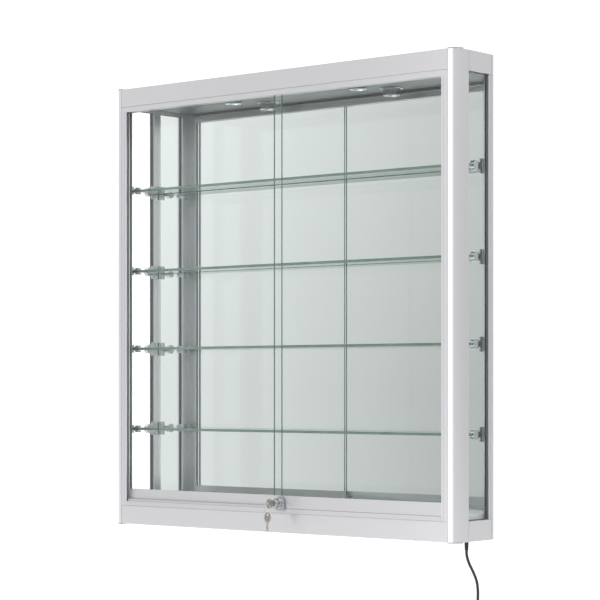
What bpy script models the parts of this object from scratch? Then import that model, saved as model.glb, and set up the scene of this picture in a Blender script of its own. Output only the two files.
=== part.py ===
"""Wall-hung glass display showcase with two sliding doors, built piece by piece.

Units are metres and +Z is up. The origin is the middle of the back face, where the case meets the wall;
the doors face -Y. Sizes are written as x from the middle, depth back from the front plane, and rise up
from the underside, and place() turns them into the part's own frame.
"""
import math

import bmesh
import bpy
from mathutils import Matrix, Vector

# Driving dimensions
WIDTH, HEIGHT, DEPTH = 1.000, 1.032, 0.136
GAP = 0.0003              # between pieces that touch
WALL = 0.0022             # wall of the aluminium profiles
HALF = WIDTH / 2
CORNER_R = 0.024          # round front corner of the posts
ROUND_X = HALF - CORNER_R  # where the round starts on the front plane
JAMB_X = 0.4598           # side of the door opening
LEG_DEPTH = 0.0200        # depth of the jamb, the fascias and the top track
INNER_X = 0.4835          # inner side of the posts
FLANGE_DEPTH = 0.0434     # rear edge of the front posts' side flange
FASCIA = 0.0430           # height of the top and side fascias
BASE_FASCIA = 0.0434
TOP_STRIP = 0.0556        # depth of the head of the door opening, from the top

# Doors
PANE = 0.0040             # glass thickness of the doors and the sides
RAIL_THICK, RAIL_LOW, RAIL_HIGH = 0.0090, 0.0542, 0.0824
GLASS_LOW = 0.0730
FRONT_PANE, REAR_PANE = 0.0060, 0.0160   # depth of the middle of each door's glass
CHANNEL = 0.0056          # width of a door channel
CHANNEL_DEEP = 0.0105
RIGHT_DOOR = (-0.0036, 0.4690)           # the front door's glass, from x to x
LEFT_DOOR = (-0.4690, 0.0109)
RAIL_END = 0.4590
TRACK_TOP = 0.0539
RIB_HALF, RIB_TOP = 0.0012, 0.0592

# Sides and back
SIDE_GLASS_X = 0.4910     # middle of the side panes
GROOVE = PANE + 2 * GAP
GROOVE_DEEP = 0.0085
REAR_POST_DEPTH = 0.1205  # front face of the rear posts
STRIP_DEPTH = 0.1288      # where the rear posts' proud outer strip starts
PANEL_DEPTH = 0.1319      # rear edge of the inner panels
MIRROR = (0.1322, 0.1347)  # the mirror's front and back, in depth

# Inside
DECK_TOP, CEILING = 0.0540, HEIGHT - 0.0360
PANEL = 0.0020            # thickness of the sheet panels
SHELF_RISES = (0.224, 0.416, 0.602, 0.795)
SHELF, SHELF_X, SHELF_DEPTHS = 0.0060, 0.4805, (0.0592, 0.1235)
REAR_JAW_DEPTH, REAR_JAW_R = 0.0955, 0.0110      # the round jaws of the rear shelf clamps
SPOT_X, SPOT_DEPTH = 0.183, 0.071
SPOT_NECK_R, SPOT_RIM_R, LAMP_R = 0.0247, 0.0275, 0.0190

# Lock
LOCK_X, LOCK_RISE = 0.0202, 0.0665
LOCK_PLATE, LOCK_FACE = (-0.0035, -0.0004), -0.0150   # depths of its plate, and of the boss's front
LOCK_R, BARREL_R, CYLINDER_R, PLUNGER_R = 0.0120, 0.0090, 0.0052, 0.0050
BARREL_FRONT = -0.0270
CYLINDER_BACK = -0.0170
KEYWAY_WIDE, KEYWAY_TALL, KEYWAY_BACK = 0.0024, 0.0082, -0.0180

# Keys: flat, in the plane x = LOCK_X
BOW_R, BOW_THICK, BLADE_THICK, BLADE_WIDE, NECK_WIDE = 0.0110, 0.0022, 0.0018, 0.0072, 0.0100
BOW_DEPTH = BARREL_FRONT - 0.0123
BLADE_END = BARREL_FRONT + 0.0085
HOLE_DEPTH = BOW_DEPTH - 0.0062           # of the hole in the key's bow
HOLE_R, HOLE_OFFSET = 0.0032, 0.0065
RING_R, WIRE_R = 0.0095, 0.0008
RING_RISE = LOCK_RISE - HOLE_R + WIRE_R + GAP - RING_R

# Mains lead
CORD_R, CORD_X, CORD_DEPTH = 0.0030, 0.4620, 0.0890
RELIEF_R = 0.0051         # neck of the strain relief, through the base
COIL_R, COIL_HALF = 0.0320, 0.0092       # middle of the turns, and half the bundle's thickness
COIL_RISE = -0.1840                      # the coil's middle, below the underside
COIL_DEPTH = DEPTH - 0.0018 - COIL_HALF

parts = None
cutters = None


def place(x, depth, rise):
    return Vector((x, depth - DEPTH, rise - HEIGHT / 2))


def new_material(name, colour, roughness, metallic, alpha=1.0):
    """A Principled material; the colour is linear RGB."""
    made = bpy.data.materials.new(name)
    made.use_nodes = True
    shader = made.node_tree.nodes["Principled BSDF"]
    shader.inputs["Base Color"].default_value = (*colour, 1.0)
    shader.inputs["Roughness"].default_value = roughness
    shader.inputs["Metallic"].default_value = metallic
    shader.inputs["Alpha"].default_value = alpha
    return made


def node(name, mesh, finish, pivot=Vector((0, 0, 0)), smooth=None, home=None):
    """An object whose mesh is given in the part's frame, with its origin moved to the pivot."""
    made = bpy.data.objects.new(name, mesh)
    mesh.transform(Matrix.Translation(-pivot))
    made.location = pivot
    if finish:
        mesh.materials.append(finish)
    if smooth is not None:
        mesh.shade_smooth()
        mesh.set_sharp_from_angle(angle=math.radians(smooth))
    (home or parts).objects.link(made)
    return made


def box_mesh(name, xs, depths, rises):
    low, high = place(xs[0], depths[0], rises[0]), place(xs[1], depths[1], rises[1])
    shape = bmesh.new()
    bmesh.ops.create_cube(shape, size=1)
    for vert in shape.verts:
        vert.co = Vector([(a + b) / 2 + c * (b - a) for a, b, c in zip(low, high, vert.co)])
    mesh = bpy.data.meshes.new(name)
    shape.to_mesh(mesh)
    shape.free()
    return mesh


def box(name, xs, depths, rises, finish):
    centre = place(sum(xs) / 2, sum(depths) / 2, sum(rises) / 2)
    return node(name, box_mesh(name, xs, depths, rises), finish, centre)


def rod_mesh(name, radius, ends, axis, sides=32):
    """A cylinder from one end point to the other, along an axis letter."""
    shape = bmesh.new()
    length = (ends[1] - ends[0]).length
    bmesh.ops.create_cone(shape, cap_ends=True, segments=sides, radius1=radius, radius2=radius, depth=length)
    turn = {"X": Matrix.Rotation(math.pi / 2, 4, "Y"), "Y": Matrix.Rotation(math.pi / 2, 4, "X"),
            "Z": Matrix.Identity(4)}[axis]
    bmesh.ops.transform(shape, matrix=Matrix.Translation((ends[0] + ends[1]) / 2) @ turn, verts=shape.verts)
    mesh = bpy.data.meshes.new(name)
    shape.to_mesh(mesh)
    shape.free()
    return mesh


def profile_mesh(name, outlines, ends, lie):
    """A flat outline, with any holes after it, extruded between two ends.

    lie "up" takes (x, depth) outlines and rises as ends, "across" (depth, rise) and xs, "back" (x, rise)
    and depths.
    """
    curve = bpy.data.curves.new(name, "CURVE")
    curve.dimensions, curve.fill_mode = "2D", "BOTH"
    curve.extrude = (ends[1] - ends[0]) / 2
    for outline in outlines:
        spline = curve.splines.new("POLY")
        spline.points.add(len(outline) - 1)
        for point, (a, b) in zip(spline.points, outline):
            point.co = (a, b, 0, 1)
        spline.use_cyclic_u = True
    guide = bpy.data.objects.new(name, curve)
    cutters.objects.link(guide)
    bpy.context.view_layer.update()
    mesh = bpy.data.meshes.new_from_object(guide.evaluated_get(bpy.context.evaluated_depsgraph_get()))
    bpy.data.objects.remove(guide)
    bpy.data.curves.remove(curve)
    middle = sum(ends) / 2
    turn = {"up": Matrix(((1, 0, 0, 0), (0, 1, 0, -DEPTH), (0, 0, 1, middle - HEIGHT / 2), (0, 0, 0, 1))),
            "across": Matrix(((0, 0, 1, middle), (1, 0, 0, -DEPTH), (0, 1, 0, -HEIGHT / 2), (0, 0, 0, 1))),
            "back": Matrix(((1, 0, 0, 0), (0, 0, -1, middle - DEPTH), (0, 1, 0, -HEIGHT / 2), (0, 0, 0, 1)))}
    mesh.transform(turn[lie])
    shape = bmesh.new()
    shape.from_mesh(mesh)
    bmesh.ops.remove_doubles(shape, verts=shape.verts, dist=1e-6)
    bmesh.ops.recalc_face_normals(shape, faces=shape.faces)
    shape.to_mesh(mesh)
    shape.free()
    return mesh


def arc(centre, radius, start, stop, steps):
    """Points of an arc, with angles in degrees from +a towards +b of the outline's own axes."""
    turns = [math.radians(start + (stop - start) * i / steps) for i in range(steps + 1)]
    return [(centre[0] + radius * math.cos(t), centre[1] + radius * math.sin(t)) for t in turns]


def sided(side, outline):
    """The outline for the left (-1) or right (1) hand; a is x."""
    return [(side * a, b) for a, b in outline]


def span(side, near, far):
    return tuple(sorted((side * near, side * far)))


def boolean(target, mesh, operation="DIFFERENCE"):
    """Cuts or joins with a mesh, kept as a hidden object in the cutters' collection."""
    tool = node(f"tool_{len(cutters.objects):03d}", mesh, None, home=cutters)
    tool.hide_render, tool.display_type = True, "WIRE"
    change = target.modifiers.new(operation.title(), "BOOLEAN")
    change.operation, change.object = operation, tool
    return tool


def settled_mesh(target, tools):
    """The target's evaluated mesh; the target and its tools are removed."""
    bpy.context.view_layer.update()
    mesh = bpy.data.meshes.new_from_object(target.evaluated_get(bpy.context.evaluated_depsgraph_get()))
    for used in (target, *tools):
        bpy.data.objects.remove(used)
    return mesh


def turned(name, outline, finish, pivot, axis="Z", steps=32):
    """A turned piece: (radius, height) points, down the outer side first; on axis "Y" height runs to -Y."""
    shape = bmesh.new()
    verts = [shape.verts.new((radius, 0, height)) for radius, height in outline]
    for first, second in zip(verts, verts[1:] + verts[:1]):
        shape.edges.new((first, second))
    mesh = bpy.data.meshes.new(name)
    shape.to_mesh(mesh)
    shape.free()
    made = node(name, mesh, finish)
    made.location = pivot
    if axis == "Y":
        made.rotation_euler = (math.pi / 2, 0, 0)
    spin = made.modifiers.new("Spin", "SCREW")
    spin.steps, spin.render_steps = steps, steps
    spin.use_merge_vertices, spin.merge_threshold = True, 0.00001
    spin.use_smooth_shade = True
    return made


# ---------------------------------------------------------------- frame

def front_post(side, finish):
    """The round front corner with its jamb, side flange and grooves, notched for fascia and track."""
    centre = (ROUND_X, CORNER_R)
    door_channels = []
    for middle in (REAR_PANE, FRONT_PANE):
        deep, wide = JAMB_X + CHANNEL_DEEP, CHANNEL / 2
        door_channels += [(JAMB_X, middle + wide), (deep, middle + wide),
                          (deep, middle - wide), (JAMB_X, middle - wide)]
    near, far = SIDE_GLASS_X - GROOVE / 2, SIDE_GLASS_X + GROOVE / 2
    outline = (arc(centre, CORNER_R, -90, 0, 12)
               + [(HALF, FLANGE_DEPTH), (far, FLANGE_DEPTH), (far, FLANGE_DEPTH - GROOVE_DEEP),
                  (near, FLANGE_DEPTH - GROOVE_DEEP), (near, FLANGE_DEPTH), (INNER_X, FLANGE_DEPTH),
                  (INNER_X, LEG_DEPTH), (JAMB_X, LEG_DEPTH)]
               + door_channels + [(JAMB_X, 0)])
    inner_r, low_x, back = CORNER_R - WALL, ROUND_X + 0.0025, LEG_DEPTH - WALL
    start = math.degrees(math.asin((low_x - ROUND_X) / inner_r)) - 90
    bay = (arc(centre, inner_r, start, 0, 8)
           + [(HALF - WALL, 0.0310), (INNER_X + WALL, 0.0310), (INNER_X + WALL, back), (low_x, back)])
    hand = "right" if side > 0 else "left"
    mesh = profile_mesh(f"front_post_{hand}", [sided(side, outline), sided(side, bay)], (0, HEIGHT), "up")
    post = node(f"front_post_{hand}", mesh, finish, place(side * HALF, 0, HEIGHT / 2), smooth=30)
    notch_x, notch_depth = span(side, JAMB_X - 0.01, ROUND_X), (-0.01, LEG_DEPTH + GAP)
    for rises in ((HEIGHT - TOP_STRIP, HEIGHT + 0.01), (-0.01, BASE_FASCIA + GAP)):
        boolean(post, box_mesh("notch", notch_x, notch_depth, rises))


def rear_post(side, finish):
    """A rear post: groove for the side pane in front, and a proud outer strip at the wall."""
    near, far = SIDE_GLASS_X - GROOVE / 2, SIDE_GLASS_X + GROOVE / 2
    edge, soft = HALF - 0.0025, 0.002
    outline = ([(HALF, STRIP_DEPTH)] + arc((HALF - soft, DEPTH - soft), soft, 0, 90, 4)
               + [(INNER_X + GAP, DEPTH), (INNER_X + GAP, REAR_POST_DEPTH), (near, REAR_POST_DEPTH),
                  (near, REAR_POST_DEPTH + GROOVE_DEEP), (far, REAR_POST_DEPTH + GROOVE_DEEP),
                  (far, REAR_POST_DEPTH), (edge, REAR_POST_DEPTH), (edge, STRIP_DEPTH)])
    hand = "right" if side > 0 else "left"
    mesh = profile_mesh(f"rear_post_{hand}", [sided(side, outline)], (0, HEIGHT), "up")
    node(f"rear_post_{hand}", mesh, finish, place(side * HALF, DEPTH, HEIGHT / 2), smooth=30)


def corner_cap(side, level, finish):
    """A thin moulded cap on the end of a front post, a little proud of its round."""
    lip, thick = 0.0012, 0.0018
    centre = (ROUND_X, CORNER_R)
    outline = (arc(centre, CORNER_R + lip, -90, 0, 12)
               + [(INNER_X + GAP, CORNER_R), (INNER_X + GAP, LEG_DEPTH), (ROUND_X, LEG_DEPTH)])
    rises = (HEIGHT + GAP, HEIGHT + GAP + thick) if level == "top" else (-GAP - thick, -GAP)
    hand = "right" if side > 0 else "left"
    name = f"corner_cap_{level}_{hand}"
    mesh = profile_mesh(name, [sided(side, outline)], rises, "up")
    node(name, mesh, finish, place(side * HALF, 0, rises[0]), smooth=30)


def fascias(finish):
    """The top and bottom front fascias, open channels that face back."""
    end = ROUND_X - GAP
    for name, low, high in (("top_fascia", HEIGHT - FASCIA, HEIGHT), ("bottom_fascia", 0, BASE_FASCIA)):
        outline = [(0, low), (LEG_DEPTH, low), (LEG_DEPTH, low + WALL), (WALL, low + WALL),
                   (WALL, high - WALL), (LEG_DEPTH, high - WALL), (LEG_DEPTH, high), (0, high)]
        mesh = profile_mesh(name, [outline], (-end, end), "across")
        node(name, mesh, finish, place(0, 0, (low + high) / 2))


def tracks(finish):
    """The top track with two channels for the glass, and the bottom track with two ribs."""
    low, high, wide = HEIGHT - TOP_STRIP, HEIGHT - FASCIA - GAP, CHANNEL / 2
    outline = [(0, high), (0, low)]
    for middle in (FRONT_PANE, REAR_PANE):
        outline += [(middle - wide, low), (middle - wide, low + CHANNEL_DEEP - 0.001),
                    (middle + wide, low + CHANNEL_DEEP - 0.001), (middle + wide, low)]
    outline += [(LEG_DEPTH, low), (LEG_DEPTH, high)]
    end = ROUND_X - GAP
    node("top_track", profile_mesh("top_track", [outline], (-end, end), "across"), finish,
         place(0, 0, high))
    low, back = BASE_FASCIA + GAP, LEG_DEPTH + 0.0015
    outline = [(back, low), (back, TRACK_TOP)]
    for middle in (REAR_PANE, FRONT_PANE):
        outline += [(middle + RIB_HALF, TRACK_TOP), (middle + RIB_HALF, RIB_TOP),
                    (middle - RIB_HALF, RIB_TOP), (middle - RIB_HALF, TRACK_TOP)]
    outline += [(0, TRACK_TOP), (0, low)]
    end = JAMB_X - GAP
    node("bottom_track", profile_mesh("bottom_track", [outline], (-end, end), "across"), finish,
         place(0, 0, low))


def side_rail(side, level, finish):
    """A side rail: outer fascia, a flange at the case's edge, and a block grooved for the side pane."""
    top = level == "top"
    tall = FASCIA if top else BASE_FASCIA
    near, far = SIDE_GLASS_X - GROOVE / 2, SIDE_GLASS_X + GROOVE / 2
    inner, skin, block = INNER_X + 0.0007, HALF - WALL, GROOVE_DEEP + 0.0025
    outline = [(HALF, 0), (HALF, tall), (far, tall), (far, tall - GROOVE_DEEP), (near, tall - GROOVE_DEEP),
               (near, tall), (inner, tall), (inner, tall - block), (skin, tall - block), (skin, WALL),
               (inner, WALL), (inner, 0)]
    if top:
        outline = [(x, HEIGHT - rise) for x, rise in outline]
    depths = (FLANGE_DEPTH + GAP, STRIP_DEPTH - GAP)
    hand = "right" if side > 0 else "left"
    name = f"side_rail_{level}_{hand}"
    edge = HEIGHT if top else 0
    rail = node(name, profile_mesh(name, [sided(side, outline)], depths, "back"), finish,
                place(side * HALF, depths[0], edge))
    rises = span(1, edge - 0.06, edge + 0.06)
    boolean(rail, box_mesh("notch", span(side, 0.47, HALF - WALL - 0.0001),
                           (REAR_POST_DEPTH - GAP, DEPTH), rises))


def panels(silver, backing, mirror):
    """Roof, ceiling, deck and base sheets, the steel back and the mirror in front of it."""
    edge = INNER_X
    roof_depths = (LEG_DEPTH + GAP, MIRROR[1] + 0.0001)
    box("roof_panel", (-edge, edge), roof_depths, (HEIGHT - PANEL, HEIGHT), silver)
    base = box("base_panel", (-edge, edge), roof_depths, (0, PANEL), silver)
    through = place(CORD_X, CORD_DEPTH, -0.01), place(CORD_X, CORD_DEPTH, 0.01)
    boolean(base, rod_mesh("hole", RELIEF_R + GAP, through, "Z", 24))
    inner = edge - GAP
    ceiling = box("ceiling_panel", (-inner, inner), (LEG_DEPTH + GAP, PANEL_DEPTH),
                  (CEILING, CEILING + PANEL), silver)
    for side in (-1, 1):
        through = [place(side * SPOT_X, SPOT_DEPTH, CEILING + step) for step in (-0.01, 0.01)]
        boolean(ceiling, rod_mesh("hole", SPOT_NECK_R + GAP, through, "Z", 32))
    deck_front = LEG_DEPTH + 0.0015 + GAP
    box("deck_panel", (-inner, inner), (deck_front, PANEL_DEPTH), (DECK_TOP - PANEL, DECK_TOP), silver)
    box("back_panel", (-edge, edge), (DEPTH - 0.001, DEPTH), (0, HEIGHT), backing)
    box("mirror_pane", (-edge, edge), MIRROR, (PANEL + 0.001, HEIGHT - PANEL - 0.001), mirror)


# ---------------------------------------------------------------- glass and shelf clamps

def panes(glass):
    """The side panes in their grooves, and the four shelves."""
    reach = GROOVE_DEEP - 0.001
    for side, hand in ((-1, "left"), (1, "right")):
        xs = span(side, SIDE_GLASS_X - PANE / 2, SIDE_GLASS_X + PANE / 2)
        box(f"side_pane_{hand}", xs, (FLANGE_DEPTH - reach, REAR_POST_DEPTH + reach),
            (BASE_FASCIA - reach, HEIGHT - FASCIA + reach), glass)
    for number, rise in enumerate(SHELF_RISES, 1):
        box(f"shelf_{number}", (-SHELF_X, SHELF_X), SHELF_DEPTHS, (rise - SHELF / 2, rise + SHELF / 2), glass)


def clamp_mesh(side, end):
    """A clamp at rise 0: a plate on the post, an arm, and a jaw with a slot for the shelf."""
    back, slot = SHELF_X + GAP, SHELF / 2 + GAP
    if end == "rear":
        xs, ends = span(side, back, INNER_X), [place(side * x, REAR_JAW_DEPTH, 0) for x in (0.4725, INNER_X)]
        plate = box_mesh("plate", xs, (0.1095, 0.1302), (-0.016, 0.016))
        arm = box_mesh("arm", xs, (REAR_JAW_DEPTH, 0.1120), (-0.006, 0.006))
        jaw = rod_mesh("jaw", REAR_JAW_R, ends, "X", 24)
    else:
        xs, jaw_xs = span(side, back, INNER_X - GAP), span(side, 0.4745, INNER_X - GAP)
        plate = box_mesh("plate", xs, (0.0300, 0.0480), (-0.0095, 0.0095))
        arm = box_mesh("arm", xs, (0.0450, 0.0640), (-0.005, 0.005))
        jaw = box_mesh("jaw", jaw_xs, (0.0540, 0.0650), (-0.0080, 0.0080))
    body = node(f"clamp_{end}", plate, None, home=cutters)
    tools = [boolean(body, arm, "UNION"), boolean(body, jaw, "UNION"),
             boolean(body, box_mesh("slot", span(side, 0.4, back), (0.05, 0.12), (-slot, slot)))]
    return settled_mesh(body, tools)


def clamps(chrome):
    for side, hand in ((-1, "left"), (1, "right")):
        for end in ("front", "rear"):
            shared = clamp_mesh(side, end)
            shared.transform(Matrix.Translation(-place(0, 0, 0)))
            shared.materials.clear()
            shared.materials.append(chrome)
            for number, rise in enumerate(SHELF_RISES, 1):
                made = bpy.data.objects.new(f"clamp_{number}_{end}_{hand}", shared)
                made.location = place(0, 0, rise)
                parts.objects.link(made)


# ---------------------------------------------------------------- doors and lock

def doors(glass, silver):
    """Two frameless panes, each standing in an aluminium rail that runs on a rib of the track."""
    slot, groove = PANE / 2 + GAP, RIB_HALF + 0.0005
    top = HEIGHT - TOP_STRIP + 0.0070
    for hand, xs, middle in (("left", LEFT_DOOR, REAR_PANE), ("right", RIGHT_DOOR, FRONT_PANE)):
        half = RAIL_THICK / 2
        outline = [(middle - half, RAIL_LOW), (middle - groove, RAIL_LOW), (middle - groove, RIB_TOP + 0.001),
                   (middle + groove, RIB_TOP + 0.001), (middle + groove, RAIL_LOW), (middle + half, RAIL_LOW),
                   (middle + half, RAIL_HIGH), (middle + slot, RAIL_HIGH), (middle + slot, GLASS_LOW - GAP),
                   (middle - slot, GLASS_LOW - GAP), (middle - slot, RAIL_HIGH), (middle - half, RAIL_HIGH)]
        ends = (max(xs[0], -RAIL_END), min(xs[1], RAIL_END))
        name = f"door_rail_{hand}"
        rail = node(name, profile_mesh(name, [outline], ends, "across"), silver,
                    place(sum(ends) / 2, middle, RAIL_LOW))
        if hand == "right":
            bore = (place(LOCK_X, middle - 0.01, LOCK_RISE), place(LOCK_X, middle + 0.01, LOCK_RISE))
            boolean(rail, rod_mesh("bore", PLUNGER_R + GAP, bore, "Y", 24))
        box(f"door_pane_{hand}", xs, (middle - PANE / 2, middle + PANE / 2), (GLASS_LOW, top), glass)


def on_lock_axis(first, second):
    return place(LOCK_X, first, LOCK_RISE), place(LOCK_X, second, LOCK_RISE)


def lock(chrome):
    """The lock's body on the front door's rail, the barrel that pushes in, and its turning cylinder."""
    foot = LOCK_RISE - 0.0165
    outline = (arc((LOCK_X, LOCK_RISE + 0.0035), LOCK_R, 0, 180, 14)
               + [(LOCK_X - LOCK_R, foot), (LOCK_X + LOCK_R, foot)])
    body = node("lock_body", profile_mesh("lock_body", [outline], LOCK_PLATE, "back"), chrome,
                place(LOCK_X, LOCK_PLATE[1], LOCK_RISE), smooth=30)
    boolean(body, rod_mesh("boss", LOCK_R, on_lock_axis(LOCK_FACE, LOCK_PLATE[0] + 0.001), "Y", 32), "UNION")
    boolean(body, rod_mesh("bore", BARREL_R + GAP, on_lock_axis(LOCK_FACE - 0.01, -0.0020), "Y", 32))
    boolean(body, rod_mesh("bore", PLUNGER_R + GAP, on_lock_axis(-0.01, 0.01), "Y", 24))

    base, front, bore = -0.0030, -BARREL_FRONT, CYLINDER_R + GAP
    back, tip, floor = 0.0120, -0.0105, -CYLINDER_BACK - GAP
    outline = [(BARREL_R, front - 0.0005), (BARREL_R, back + 0.0005), (BARREL_R - 0.0005, back),
               (PLUNGER_R, back), (PLUNGER_R, tip), (0, tip), (0, floor), (bore, floor), (bore, front),
               (BARREL_R - 0.0006, front)]
    outline = [(radius, height + base) for radius, height in outline]
    turned("lock_barrel", outline, chrome, place(LOCK_X, base, LOCK_RISE), "Y")
    ends = on_lock_axis(BARREL_FRONT + 0.0001, CYLINDER_BACK)
    rod = rod_mesh("lock_cylinder", CYLINDER_R, ends, "Y", 32)
    cylinder = node("lock_cylinder", rod, chrome, ends[0], smooth=30)
    wide, tall = KEYWAY_WIDE / 2, KEYWAY_TALL / 2
    boolean(cylinder, box_mesh("keyway", (LOCK_X - wide, LOCK_X + wide), (-0.04, KEYWAY_BACK),
                               (LOCK_RISE - tall, LOCK_RISE + tall)))


def key_mesh(bow, hole, neck, blade):
    """A flat key as one body and the tools that shape it; places are (depth, rise), boxes (depths, rises)."""
    half, thin = BOW_THICK / 2, BLADE_THICK / 2
    ends = [place(LOCK_X + side * half, *bow) for side in (-1, 1)]
    body = node("key_bow", rod_mesh("bow", BOW_R, ends, "X", 28), None, home=cutters)
    through = [place(LOCK_X + side * 0.01, *hole) for side in (-1, 1)]
    tools = [boolean(body, box_mesh("neck", (LOCK_X - half, LOCK_X + half), *neck), "UNION"),
             boolean(body, box_mesh("blade", (LOCK_X - thin, LOCK_X + thin), *blade), "UNION"),
             boolean(body, rod_mesh("hole", HOLE_R, through, "X", 20))]
    return body, tools


def about(middle, width):
    return middle - width / 2, middle + width / 2


def keys(steel):
    """The key in the cylinder, and the spare that hangs under it, joined to its ring."""
    neck = (BARREL_FRONT - 0.0055, BARREL_FRONT - 0.0003), about(LOCK_RISE, NECK_WIDE)
    blade = (BARREL_FRONT - 0.003, BLADE_END), about(LOCK_RISE, BLADE_WIDE)
    body, tools = key_mesh((BOW_DEPTH, LOCK_RISE), (HOLE_DEPTH, LOCK_RISE), neck, blade)
    node("key", settled_mesh(body, tools), steel, place(LOCK_X, BOW_DEPTH, LOCK_RISE), smooth=30)

    hole = RING_RISE - RING_R - HOLE_R + WIRE_R - 0.0004
    bow = hole - HOLE_OFFSET
    neck = about(HOLE_DEPTH, NECK_WIDE), (bow - 0.0130, bow - 0.0080)
    blade = about(HOLE_DEPTH, BLADE_WIDE), (bow - 0.0300, bow - 0.0090)
    body, tools = key_mesh((HOLE_DEPTH, bow), (HOLE_DEPTH, hole), neck, blade)
    pivot = place(LOCK_X, HOLE_DEPTH, RING_RISE)
    bpy.ops.mesh.primitive_torus_add(major_segments=32, minor_segments=8, major_radius=RING_R,
                                     minor_radius=WIRE_R, location=pivot, rotation=(math.pi / 2, 0, 0))
    ring = bpy.context.object
    ring.data.transform(ring.matrix_world)
    tools.append(boolean(body, ring.data, "UNION"))
    bpy.data.objects.remove(ring)
    node("spare_key", settled_mesh(body, tools), steel, pivot, smooth=30)


# ---------------------------------------------------------------- lights

def spots(chrome):
    """A fixed ring in the ceiling, and a lamp head that tilts on two pins in it, on each side."""
    for side, hand in ((-1, "left"), (1, "right")):
        pivot = place(side * SPOT_X, SPOT_DEPTH, CEILING)
        neck, rim, lamp = SPOT_NECK_R, SPOT_RIM_R, LAMP_R
        outline = [(neck, 0.0100), (neck, -GAP), (rim, -GAP), (rim, -0.0012), (rim - 0.0013, -0.0024),
                   (neck - 0.0023, -0.0024), (neck - 0.0029, -0.0018), (neck - 0.0029, 0.0100)]
        turned(f"spot_ring_{hand}", outline, chrome, pivot)
        outline = [(lamp - 0.0005, 0.0110), (lamp, 0.0105), (lamp, -0.0160), (lamp - 0.0008, -0.0168),
                   (lamp - 0.0022, -0.0168), (lamp - 0.0030, -0.0140), (0.0080, -0.0030), (0, -0.0030),
                   (0, 0.0110)]
        head = turned(f"spot_lamp_{hand}", outline, chrome, pivot)
        pins = [pivot + Vector((end * (neck - 0.0035), 0, 0)) for end in (-1, 1)]
        boolean(head, rod_mesh("pins", 0.0016, pins, "X", 16), "UNION")


# ---------------------------------------------------------------- mains lead

def smooth_route(knots, step):
    """Points about a step apart on a Catmull-Rom curve through the knots."""
    ends = [2 * knots[0] - knots[1], *knots, 2 * knots[-1] - knots[-2]]
    fine = []
    for a, b, c, d in zip(ends, ends[1:], ends[2:], ends[3:]):
        for i in range(24):
            t = i / 24
            fine.append(0.5 * ((2 * b) + (c - a) * t + (2 * a - 5 * b + 4 * c - d) * t * t
                               + (3 * b - a - 3 * c + d) * t ** 3))
    fine.append(knots[-1])
    route, left = [fine[0]], step
    for first, second in zip(fine, fine[1:]):
        while (second - first).length >= left:
            first = first + (second - first).normalized() * left
            route.append(first)
            left = step
        left -= (second - first).length
    return route + [knots[-1]] if left < step / 2 else route[:-1] + [knots[-1]]


def tube_mesh(name, route, radius):
    curve = bpy.data.curves.new(name, "CURVE")
    curve.dimensions, curve.bevel_depth, curve.bevel_resolution = "3D", radius, 2
    curve.use_fill_caps = True
    spline = curve.splines.new("POLY")
    spline.points.add(len(route) - 1)
    for point, co in zip(spline.points, route):
        point.co = (*co, 1)
    guide = bpy.data.objects.new(name, curve)
    cutters.objects.link(guide)
    return settled_mesh(guide, [])


def mains_lead(black):
    """Strain relief in the base, the lead down the wall into its stored coil, and a plug under the coil."""
    under = place(CORD_X, CORD_DEPTH, 0)
    relief = [(RELIEF_R, 0.0060), (RELIEF_R, -GAP), (0.0068, -GAP), (0.0068, -0.0020), (0.0048, -0.0030),
              (0.0040, -0.0220), (0, -0.0220), (0, 0.0060)]
    turned("cord_gland", relief, black, under, steps=20)

    outer, inner, half, soft = COIL_R + COIL_HALF, COIL_R - COIL_HALF, COIL_HALF, 0.003
    outline = [(outer - soft, half), (outer, half - soft), (outer, soft - half), (outer - soft, -half),
               (inner + soft, -half), (inner, soft - half), (inner, half - soft), (inner + soft, half)]
    middle = place(CORD_X - COIL_R, COIL_DEPTH, COIL_RISE)
    lead = turned("cord", outline, black, middle, "Y", 40)
    wall_depth = COIL_DEPTH + 0.0060
    knots = [(CORD_DEPTH, -0.0225), (CORD_DEPTH + 0.0008, -0.0330), (CORD_DEPTH + 0.0090, -0.0500),
             (CORD_DEPTH + 0.0240, -0.0690), (wall_depth - 0.0046, -0.0900), (wall_depth, -0.1100),
             (wall_depth, -0.1300), (wall_depth, COIL_RISE + 0.0130)]
    route = smooth_route([place(CORD_X, depth, rise) for depth, rise in knots], 0.0130)
    boolean(lead, tube_mesh("lead", route, CORD_R), "UNION")
    last_turn = CORD_X + 2 * CORD_R, COIL_DEPTH - 2 * CORD_R
    plug(black, place(*last_turn, COIL_RISE - 0.0250))


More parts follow.
